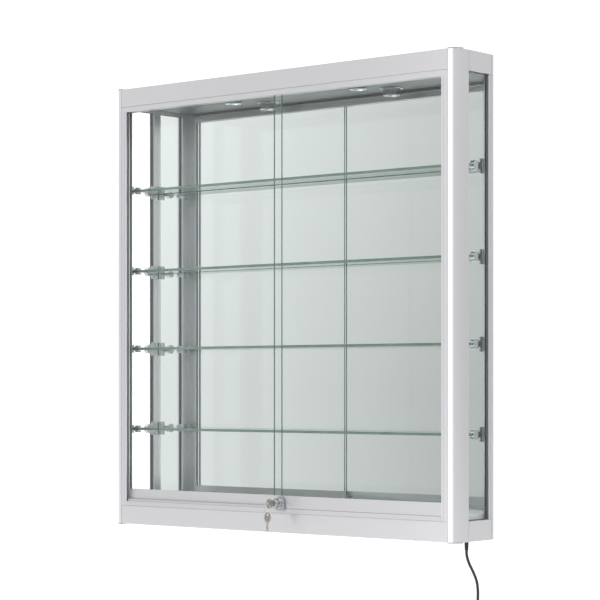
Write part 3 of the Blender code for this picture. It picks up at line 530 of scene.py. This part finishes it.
class SHOWCASE_OT_mains_lead(bpy.types.Operator):
    """Makes the mains lead with its wound coil, tie, strain relief and plug"""
    bl_idname = "showcase.mains_lead"
    bl_label = "Mains lead"

    def execute(self, context):
        sizes = context.scene.showcase_sizes
        thick = sizes.lead_thick
        wall_depth = COIL_DEPTH + thick
        knots = [(LEAD_DEPTH, -0.0215), (LEAD_DEPTH + 0.0008, -0.0330), (LEAD_DEPTH + 0.0090, -0.0500),
                 (LEAD_DEPTH + 0.0240, -0.0690), (wall_depth - 0.0046, -0.0900), (wall_depth, -0.1100),
                 (wall_depth, -0.1300), (wall_depth, -0.1520), (wall_depth, -0.1740)]
        route = self.smooth_route([place(LEAD_X, depth, rise) for depth, rise in knots], ROUTE_STEP)
        # Each turn lies in one place of the bundle, (outwards, towards the room) in lead thicknesses.
        bundle = [(0, -1), (-1, -1), (-1, 0), (-1, 1), (0, 1), (0, 0), (1, 0), (1, 1)]
        for turn, (here, following) in enumerate(zip(bundle, bundle[1:] + bundle[-1:])):
            for i in range(TURN_STEPS):
                angle = 2 * math.pi * i / TURN_STEPS
                # The lead steps over to its next place in the last third of a turn.
                moved = min(1.0, max(0.0, (i / TURN_STEPS - 0.62) / 0.36))
                moved = moved * moved * (3 - 2 * moved)
                out = thick * (here[0] + (following[0] - here[0]) * moved)
                near = thick * (here[1] + (following[1] - here[1]) * moved)
                radius = COIL_RADIUS + out
                route.append(place(LEAD_X - COIL_RADIUS + radius * math.cos(angle), COIL_DEPTH - near,
                                   COIL_RISE - radius * math.sin(angle)))
        route += [place(PLUG_X, PLUG_DEPTH, COIL_RISE - drop)
                  for drop in (0.0, 0.0066, 0.0132, 0.0198, 0.0265)]

        curve = bpy.data.curves.new("mains_lead", "CURVE")
        curve.dimensions, curve.bevel_depth, curve.bevel_resolution = "3D", thick / 2, 3
        curve.use_fill_caps = True
        spline = curve.splines.new("POLY")
        spline.points.add(len(route) - 1)
        for point, co in zip(spline.points, route):
            point.co = (*co, 1)
        lead = bpy.data.objects.new("mains_lead", curve)
        context.scene.collection.objects.link(lead)
        curve.materials.append(finish("PVC sheath"))
        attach(lead, "case")
        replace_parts(lead, "cord")

        relief = self.strain_relief()
        tie = self.cable_tie(thick)
        body, pins = self.plug()
        return {"FINISHED"}

    def smooth_route(self, knots, step):
        """Points about a step apart on a Catmull-Rom curve through the knots, the last one left out."""
        ends = [2 * knots[0] - knots[1], *knots, 2 * knots[-1] - knots[-2]]
        fine = []
        for a, b, c, d in zip(ends, ends[1:], ends[2:], ends[3:]):
            for i in range(24):
                t = i / 24
                fine.append(0.5 * ((2 * b) + (c - a) * t + (2 * a - 5 * b + 4 * c - d) * t * t
                                   + (3 * b - a - 3 * c + d) * t ** 3))
        route, left = [fine[0]], step
        for first, second in zip(fine, fine[1:]):
            while (second - first).length >= left:
                first = first + (second - first).normalized() * left
                route.append(first)
                left = step
            left -= (second - first).length
        return route

    def strain_relief(self):
        """A tapered sleeve with flexing slots under a round flange."""
        profile = [(0.0049, 0.0060), (0.0050, -0.0003), (0.0067, -0.0004), (0.0068, -0.0018),
                   (0.0064, -0.0022), (0.0050, -0.0030)]
        for i in range(RELIEF_RIBS):
            top, radius = -0.0052 - 0.0032 * i, 0.0048 - 0.00012 * i
            profile += [(radius, top + 0.0004), (radius - 0.0008, top), (radius - 0.0008, top - 0.0008),
                        (radius, top - 0.0012)]
        profile += [(0.0040, -0.0212), (0.0037, -0.0220)]
        piece = lathed(profile, place(LEAD_X, LEAD_DEPTH, 0), sides=32)
        smooth(piece, 40)
        hand_in(piece, "lead_strain_relief", "case", "black_pvc", "PVC sheath")
        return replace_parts(piece, "cord_gland")

    def cable_tie(self, thick):
        """A flat strap and its head round the bundle, opposite the plug."""
        middle = place(LEAD_X - 2 * COIL_RADIUS, COIL_DEPTH, COIL_RISE)
        bpy.ops.object.select_all(action="DESELECT")
        bpy.ops.mesh.primitive_cube_add(size=1, location=middle,
                                        scale=(3 * thick + 0.0016, 3 * thick + 0.0014, 0.0050))
        strap = settle(bpy.context.object)
        bpy.ops.object.mode_set(mode="EDIT")
        shape = bmesh.from_edit_mesh(strap.data)
        for face in shape.faces:
            face.select = abs(face.normal.z) > 0.5
        bmesh.update_edit_mesh(strap.data)
        bpy.ops.mesh.inset(thickness=0.0008, use_boundary=True)
        bpy.ops.mesh.bridge_edge_loops()
        bpy.ops.object.mode_set(mode="OBJECT")
        settle(strap)
        apply_modifier(strap, "BEVEL", width=0.0028, segments=4, limit_method="ANGLE",
                       angle_limit=math.radians(60), affect="EDGES")
        head = cuboid((LEAD_X - 2 * COIL_RADIUS - 0.0035, LEAD_X - 2 * COIL_RADIUS + 0.0035),
                      (COIL_DEPTH - 1.5 * thick - 0.0040, COIL_DEPTH - 1.5 * thick - 0.0008),
                      (COIL_RISE - 0.0032, COIL_RISE + 0.0032))
        break_edges(head, 0.0006)
        join(strap, head)
        smooth(strap, 40)
        return hand_in(strap, "lead_tie", "case", "black_pvc", "PVC sheath")

    def plug(self):
        """A slim two-pin plug with a ribbed relief and finger grips, and its two sleeved pins."""
        at = place(PLUG_X, PLUG_DEPTH, PLUG_TOP)
        levels = [(0.0076, 0.0076, 0.0), (0.0084, 0.0084, -0.0006)]
        for i in range(GRIP_RIBS):
            drop = -0.0026 - 0.0034 * i
            wide = 0.0086 + 0.0003 * i
            levels += [(wide, wide, drop), (wide - 0.0016, wide - 0.0016, drop - 0.0005),
                       (wide - 0.0016, wide - 0.0016, drop - 0.0013), (wide, wide, drop - 0.0018)]
        levels += [(0.0100, 0.0096, -0.0160), (0.0180, 0.0120, -0.0200), (0.0246, 0.0132, -0.0246),
                   (0.0296, 0.0136, -0.0296), (0.0326, 0.0137, -0.0350), (0.0328, 0.0137, -0.0452),
                   (0.0328, 0.0137, -0.0468), (0.0316, 0.0126, -0.0480)]
        bpy.ops.object.select_all(action="DESELECT")
        bpy.ops.mesh.primitive_circle_add(vertices=40, radius=0.5, fill_type="NGON")
        body = bpy.context.object
        bpy.ops.object.mode_set(mode="EDIT")
        bpy.ops.mesh.select_all(action="SELECT")
        wide, deep, height = levels[0]
        bpy.ops.transform.resize(value=(wide, deep, 1), center_override=(0, 0, 0))
        for new_wide, new_deep, drop in levels[1:]:
            bpy.ops.mesh.extrude_region_move(TRANSFORM_OT_translate={"value": (0, 0, drop - height)})
            bpy.ops.transform.resize(value=(new_wide / wide, new_deep / deep, 1),
                                     center_override=(0, 0, drop))
            wide, deep, height = new_wide, new_deep, drop
        bpy.ops.object.mode_set(mode="OBJECT")
        body.location = at
        settle(body)
        break_edges(body, 0.0003, steep=50)
        smooth(body, 45)
        hand_in(body, "plug_body", "case", "black_pvc", "PVC sheath")
        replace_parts(body, "plug")
        pins = []
        for side in (-1, 1):
            pin = lathed([(0.0019, -0.0470), (0.0019, -0.0560), (0.0020, -0.0561), (0.0020, -0.0640),
                          (0.0016, -0.0655), (0.0008, -0.0660)], at + Vector((side * 0.0093, 0, 0)), sides=20)
            pins.append(pin)
        join(*pins)
        smooth(pins[0], 40)
        hand_in(pins[0], "plug_pins", "case", "nickelled_steel", "nickel plate")
        return body, pins[0]


class SHOWCASE_OT_frame(bpy.types.Operator):
    """Dresses the aluminium posts, fascias, tracks and side rails, and the moulded corner caps"""
    bl_idname = "showcase.frame"
    bl_label = "Aluminium frame"

    def execute(self, context):
        edge = context.scene.showcase_sizes.profile_edge
        tall, wide = (-0.01, CASE_TALL + 0.01), (-0.5, 0.5)
        for side, hand in ((-1, "left"), (1, "right")):
            # The posts' draw lines, where the round corner starts and along the jamb
            lines = [cuboid(sorted((side * near, side * far)), (-0.001, sunk), tall)
                     for near, far, sunk in ((0.4756, 0.4764, 0.0009), (0.4652, 0.4657, 0.0006))]
            dressed(f"front_post_{hand}", "_profile", "case", "silver_aluminium",
                    "anodised aluminium, drawn upright", edge, grooves=lines)
            dressed(f"rear_post_{hand}", "_profile", "case", "silver_aluminium",
                    "anodised aluminium, drawn upright", edge)
            for level in ("top", "bottom"):
                seam = cuboid(sorted((side * 0.4988, side * 0.51)), (0.1274, 0.1290), tall)
                dressed(f"side_rail_{level}_{hand}", "_profile", "case", "silver_aluminium",
                        "anodised aluminium, drawn front to back", edge, grooves=[seam])
                dressed(f"corner_cap_{level}_{hand}", "_moulding", "case", "grey_plastic",
                        "grey moulded plastic", 0.0006)
        seams = {"top_fascia": [], "bottom_fascia": [cuboid(wide, (-0.001, 0.0015), (0.0422, 0.0450))],
                 "top_track": [cuboid(wide, (-0.001, 0.0015), (0.9875, 0.9900))], "bottom_track": []}
        for name, grooves in seams.items():
            look = "etched" if name == "bottom_track" else "anodised"
            dressed(name, "_profile", "case", "silver_aluminium", f"{look} aluminium, drawn across",
                    min(edge, 0.0004), grooves=grooves)
        return {"FINISHED"}


class SHOWCASE_OT_panels(bpy.types.Operator):
    """Finishes the roof, ceiling, deck and base sheets, the steel back and the mirror"""
    bl_idname = "showcase.panels"
    bl_label = "Panels and mirror"

    def execute(self, context):
        finishes = {
            "roof_panel": "anodised aluminium, drawn across", "base_panel": "anodised aluminium, drawn across",
            "ceiling_panel": "anodised aluminium sheet, ceiling",
            "back_panel": "galvanised steel sheet", "mirror_pane": "silvered mirror",
        }
        for node, name in finishes.items():
            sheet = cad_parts[node]
            sheet.data.materials.clear()
            sheet.data.materials.append(finish(name))

        # The deck is a folded tray: its ends turn down to the side rails.
        deck = merged_copy("deck_panel", "deck_tray")
        for side in (-1, 1):
            join(deck, cuboid(sorted((side * 0.4832, side * 0.4822)), (0.0225, 0.1315), (0.0436, 0.0519)))
        settle(deck)
        break_edges(deck, 0.0002)
        hand_in(deck, "deck_tray", "case", "silver_aluminium", "powder-coated aluminium sheet")
        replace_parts(deck, "deck_panel")
        return {"FINISHED"}


class SHOWCASE_OT_glass(bpy.types.Operator):
    """Makes the side panes, shelves and door panes with clear faces and polished green edges"""
    bl_idname = "showcase.glass"
    bl_label = "Glass"

    def execute(self, context):
        arris = context.scene.showcase_sizes.glass_edge
        panes = [("side_pane_left", "case", 0), ("side_pane_right", "case", 0),
                 ("door_pane_left", "left_door", 1), ("door_pane_right", "right_door", 1)]
        panes += [(f"shelf_{n}", "case", 2) for n in (1, 2, 3, 4)]
        for node, body, thin in panes:
            pane = merged_copy(node, node + "_glass")
            break_edges(pane, arris, segments=1)
            hand_in(pane, node + "_glass", body, "float_glass", "float glass", "polished glass edge")
            for face in pane.data.polygons:
                face.material_index = 0 if abs(face.normal[thin]) > 0.9 else 1
            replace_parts(pane, node)
        return {"FINISHED"}


class SHOWCASE_OT_seals(bpy.types.Operator):
    """Makes the dark grey glazing seals round the side panes"""
    bl_idname = "showcase.seals"
    bl_label = "Glazing seals"

    def execute(self, context):
        for side, hand in ((-1, "left"), (1, "right")):
            for face, near, lip in (("outer", 0.4932, 0.0032), ("inner", 0.4872, 0.0012)):
                xs = sorted((side * near, side * (near + SEAL_THICK)))
                seal = cuboid(xs, (SEAL_FRONT, SEAL_REAR), (SEAL_LOW, SEAL_HIGH))
                cut(seal, cuboid((xs[0] - 0.01, xs[1] + 0.01), (SEAL_FRONT + 0.0006, SEAL_REAR - lip),
                                 (SEAL_LOW + 0.0009, SEAL_HIGH - 0.0009)))
                break_edges(seal, 0.0002)
                settle(seal)
                hand_in(seal, f"side_seal_{face}_{hand}", "case", "black_pvc", "EPDM rubber")
        return {"FINISHED"}


class SHOWCASE_OT_clamps(bpy.types.Operator):
    """Dresses the shelf clamps in chrome and adds their pan-head screws"""
    bl_idname = "showcase.clamps"
    bl_label = "Shelf clamps"

    def execute(self, context):
        head = context.scene.showcase_sizes.screw_head
        # Each screw's depth, and its height from the shelf
        places = {"rear": [(0.1230, 0.0105), (0.1230, -0.0105)], "front": [(0.0375, 0.0)]}
        for side, hand, axis in ((-1, "left", "X"), (1, "right", "-X")):
            screw = self.pan_head(head, place(side * SHELF_X, 0, 0), axis)
            for number, rise in enumerate(SHELF_RISES, 1):
                for end, spots in places.items():
                    node = f"clamp_{number}_{end}_{hand}"
                    dressed(node, "_plate", "case", "polished_chrome", "chrome plate", 0.0004, 40)
                    for index, (depth, up) in enumerate(spots, 1):
                        name = f"clamp_screw_{number}_{end}_{hand}_{index}"
                        made = copied(screw, name, (0, depth, rise + up))
                        hand_in(made, name, "case", "polished_chrome", "nickel plate")
                        smooth(made, 35)
            bpy.data.objects.remove(screw)
        return {"FINISHED"}

    def pan_head(self, radius, at, axis):
        """A cross-slotted pan head that stands on the clamp's plate, facing into the case."""
        screw = lathed([(radius * 0.9, -0.0001), (radius, 0.0002), (radius, 0.0006),
                        (radius * 0.86, 0.0012), (radius * 0.55, 0.0015), (radius * 0.12, 0.0016)],
                       at, axis, sides=20)
        slots = []
        for tall, wide in ((0.0030, 0.0006), (0.0006, 0.0030)):
            bpy.ops.object.select_all(action="DESELECT")
            bpy.ops.mesh.primitive_cube_add(size=1, location=at, scale=(0.0040, wide, tall))
            slot = settle(bpy.context.object)
            pick(slot)
            bpy.ops.object.mode_set(mode="EDIT")
            bpy.ops.mesh.select_all(action="SELECT")
            bpy.ops.transform.translate(value=((0.0028 if axis == "X" else -0.0028), 0, 0))
            bpy.ops.object.mode_set(mode="OBJECT")
            slots.append(slot)
        return settle(cut(screw, *slots))


class SHOWCASE_OT_doors(bpy.types.Operator):
    """Dresses the sliding doors' bottom rails"""
    bl_idname = "showcase.doors"
    bl_label = "Door rails"

    def execute(self, context):
        for hand in ("left", "right"):
            dressed(f"door_rail_{hand}", "_profile", f"{hand}_door", "silver_aluminium",
                    "etched aluminium, drawn across", 0.0003)
        return {"FINISHED"}


class SHOWCASE_OT_lock(bpy.types.Operator):
    """Dresses the push lock: body, barrel and turning cylinder"""
    bl_idname = "showcase.lock"
    bl_label = "Push lock"

    def execute(self, context):
        # The bore is a little deeper than the barrel's stroke.
        bore = lathed([(0.0093, 0.0018), (0.0093, 0.0100)], place(LOCK_X, 0, LOCK_RISE), "Y", sides=32)
        dressed("lock_body", "_casting", "right_door", "polished_chrome", "chrome plate", 0.0004, 40,
                grooves=[bore])
        dressed("lock_barrel", "_turning", "plunger", "polished_chrome", "chrome plate", 0.0003, 40)
        dressed("lock_cylinder", "_turning", "key", "polished_chrome", "nickel plate", 0.0002, 40)
        return {"FINISHED"}


class SHOWCASE_OT_keys(bpy.types.Operator):
    """Makes the key in the lock and its notched spare on a ring"""
    bl_idname = "showcase.keys"
    bl_label = "Keys"

    def execute(self, context):
        for name, bow in (("key", (KEY_BOW_DEPTH, LOCK_RISE)), ("spare_key", (RING_DEPTH, SPARE_BOW_RISE))):
            piece = merged_copy(name, name + "_cut")
            break_edges(piece, 0.0002, steep=40)
            # A shallow round field is stamped into each side of the bow.
            for side, axis in ((-1, "-X"), (1, "X")):
                face = place(LOCK_X + side * (KEY_THICK / 2 - 0.00025), *bow)
                cut(piece, lathed([(0.0082, 0.0), (0.0086, 0.0010)], face, axis, sides=28))
            if name == "spare_key":
                cut(piece, *self.notches())
            smooth(piece, 40)
            hand_in(piece, name + "_cut", name, "nickelled_steel", "nickel plate")
            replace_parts(piece, name)
        return {"FINISHED"}

    def notches(self):
        """Five V-shaped bites along one edge of the spare's blade."""
        bites = []
        for step, deep in enumerate((0.0011, 0.0004, 0.0014, 0.0007, 0.0012)):
            at = place(LOCK_X, RING_DEPTH - 0.0036, SPARE_BOW_RISE - 0.0165 - 0.0030 * step)
            bpy.ops.object.select_all(action="DESELECT")
            bpy.ops.mesh.primitive_cube_add(size=1, location=at - Vector((0, 0.0014 - deep, 0)),
                                            rotation=(math.radians(45), 0, 0), scale=(0.004, 0.002, 0.002))
            bites.append(settle(bpy.context.object))
        return bites


class SHOWCASE_OT_spots(bpy.types.Operator):
    """Smooths the ceiling spotlights and adds their lenses and capsule lamps"""
    bl_idname = "showcase.spots"
    bl_label = "Spotlights"

    def execute(self, context):
        for side, hand in ((-1, "left"), (1, "right")):
            pivot = place(side * SPOT_X, SPOT_DEPTH, CEILING)
            dressed(f"spot_ring_{hand}", "_spun", "case", "polished_chrome", "chrome plate", 0, 40)
            dressed(f"spot_lamp_{hand}", "_spun", f"{hand}_spot", "polished_chrome", "chrome plate", 0, 40)
            lens = lathed([(0.0148, -0.0124), (0.0151, -0.0122), (0.0151, -0.0114), (0.0148, -0.0112)], pivot)
            smooth(lens, 40)
            hand_in(lens, f"spot_lens_{hand}", f"{hand}_spot", "float_glass", "float glass")
            capsule = lathed([(0.0010, -0.0104), (0.0030, -0.0098), (0.0042, -0.0084), (0.0045, -0.0066),
                              (0.0045, -0.0044), (0.0056, -0.0042), (0.0056, -0.0028)], pivot)
            smooth(capsule, 40)
            hand_in(capsule, f"spot_capsule_{hand}", f"{hand}_spot", "float_glass", "fired quartz")
        return {"FINISHED"}


class SHOWCASE_PT_sidebar(bpy.types.Panel):
    """Lists the showcase's pieces"""
    bl_label = "Glass display showcase"
    bl_idname = "SHOWCASE_PT_sidebar"
    bl_space_type = "VIEW_3D"
    bl_region_type = "UI"
    bl_category = "Showcase"

    def draw(self, context):
        for kind in PIECES:
            self.layout.operator(kind.bl_idname)
        for group in (context.scene.showcase_finishes, context.scene.showcase_sizes,
                      context.scene.showcase_stage):
            box = self.layout.box()
            for key in group.__annotations__:
                box.prop(group, key)


PIECES = (SHOWCASE_OT_stage, SHOWCASE_OT_mains_lead, SHOWCASE_OT_frame, SHOWCASE_OT_panels, SHOWCASE_OT_glass,
          SHOWCASE_OT_seals, SHOWCASE_OT_clamps, SHOWCASE_OT_doors, SHOWCASE_OT_lock, SHOWCASE_OT_keys,
          SHOWCASE_OT_spots)
GROUPS = (ShowcaseFinishes, ShowcaseSizes, ShowcaseStage)


def register():
    for kind in (*GROUPS, *PIECES, SHOWCASE_PT_sidebar):
        bpy.utils.register_class(kind)
    for name, group in zip(("showcase_finishes", "showcase_sizes", "showcase_stage"), GROUPS):
        setattr(bpy.types.Scene, name, bpy.props.PointerProperty(type=group))


def unregister():
    for name in ("showcase_finishes", "showcase_sizes", "showcase_stage"):
        delattr(bpy.types.Scene, name)
    for kind in reversed((*GROUPS, *PIECES, SHOWCASE_PT_sidebar)):
        bpy.utils.unregister_class(kind)


def main():
    register()
    for kind in PIECES:
        group, name = kind.bl_idname.split(".")
        if getattr(getattr(bpy.ops, group), name)() != {"FINISHED"}:
            raise RuntimeError(f"{kind.bl_label} was not finished")


if __name__ == "__main__":
    main()
